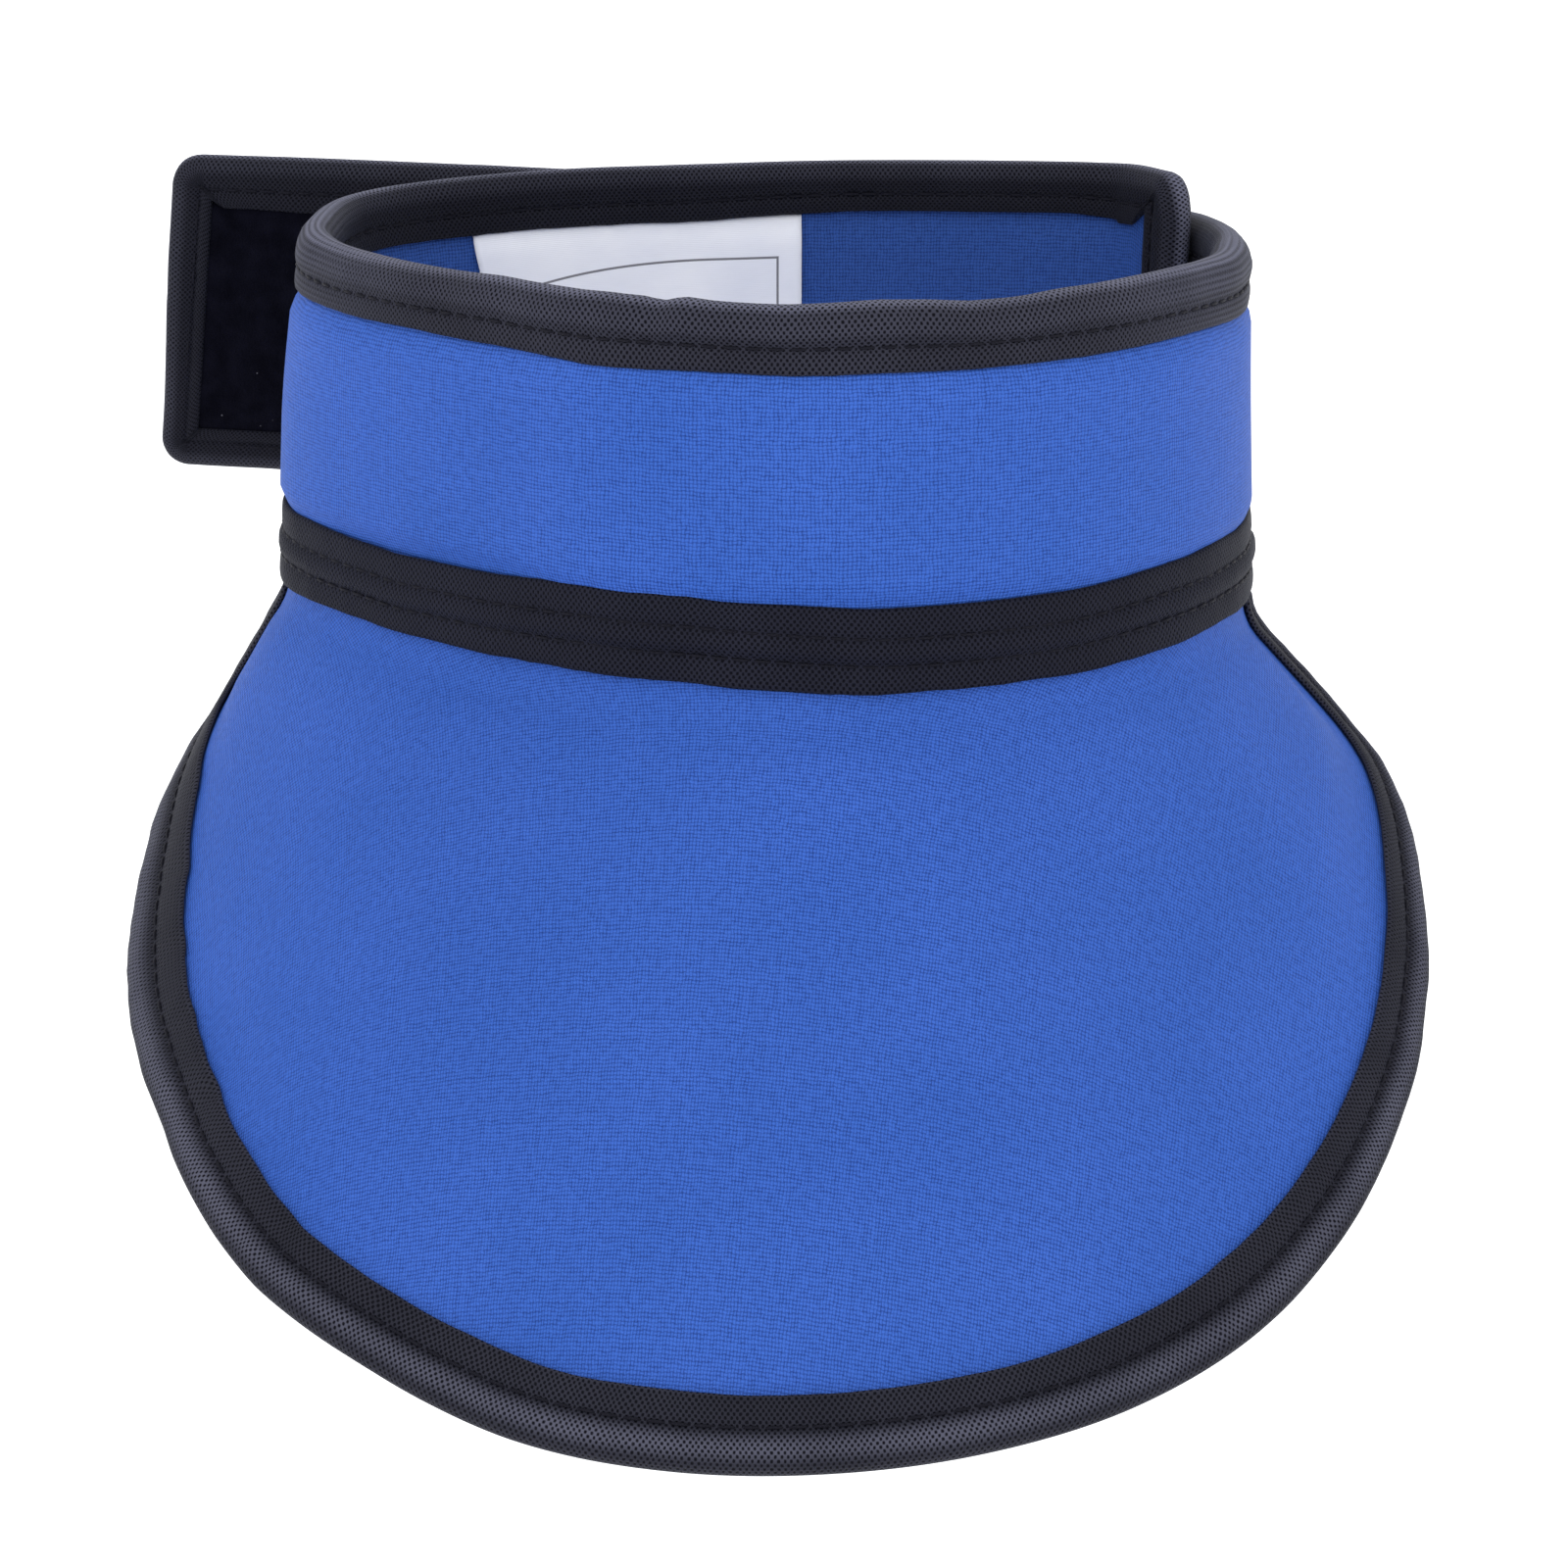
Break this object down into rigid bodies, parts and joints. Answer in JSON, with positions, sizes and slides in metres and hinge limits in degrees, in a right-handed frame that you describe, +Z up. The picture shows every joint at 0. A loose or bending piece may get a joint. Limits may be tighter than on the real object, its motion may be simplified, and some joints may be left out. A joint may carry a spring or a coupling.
{
  "type": "thyroid shield collar",
  "caption": "Padded wrap-round neck collar with a flared front bib, bound in folded tape, that shields the thyroid from X-rays.",
  "frame": {"origin": "centre of the neck opening, halfway up the collar's strip", "axes": "+Z up along the neck, the bib and front towards -Y, the free tab towards -X at the back"},
  "size_m": [0.2104, 0.1835, 0.1432],
  "materials": {
    "blue_nylon": "plain-woven nylon over a padded shielding core",
    "binding_tape": "ribbed woven binding tape",
    "loop_pile": "brushed loop pile",
    "hook_tape": "woven hook tape",
    "label_satin": "woven satin with a plain printed frame"
  },
  "bodies": {
    "root": {"neck_panel": "blue_nylon", "bib_panel": "blue_nylon", "neck_binding": "binding_tape", "bib_binding": "binding_tape", "seam_tape": "binding_tape", "seam_backing": "binding_tape", "loop_patch": "loop_pile", "hook_patch": "hook_tape", "care_label": "label_satin"}
  },
  "joints": []
}
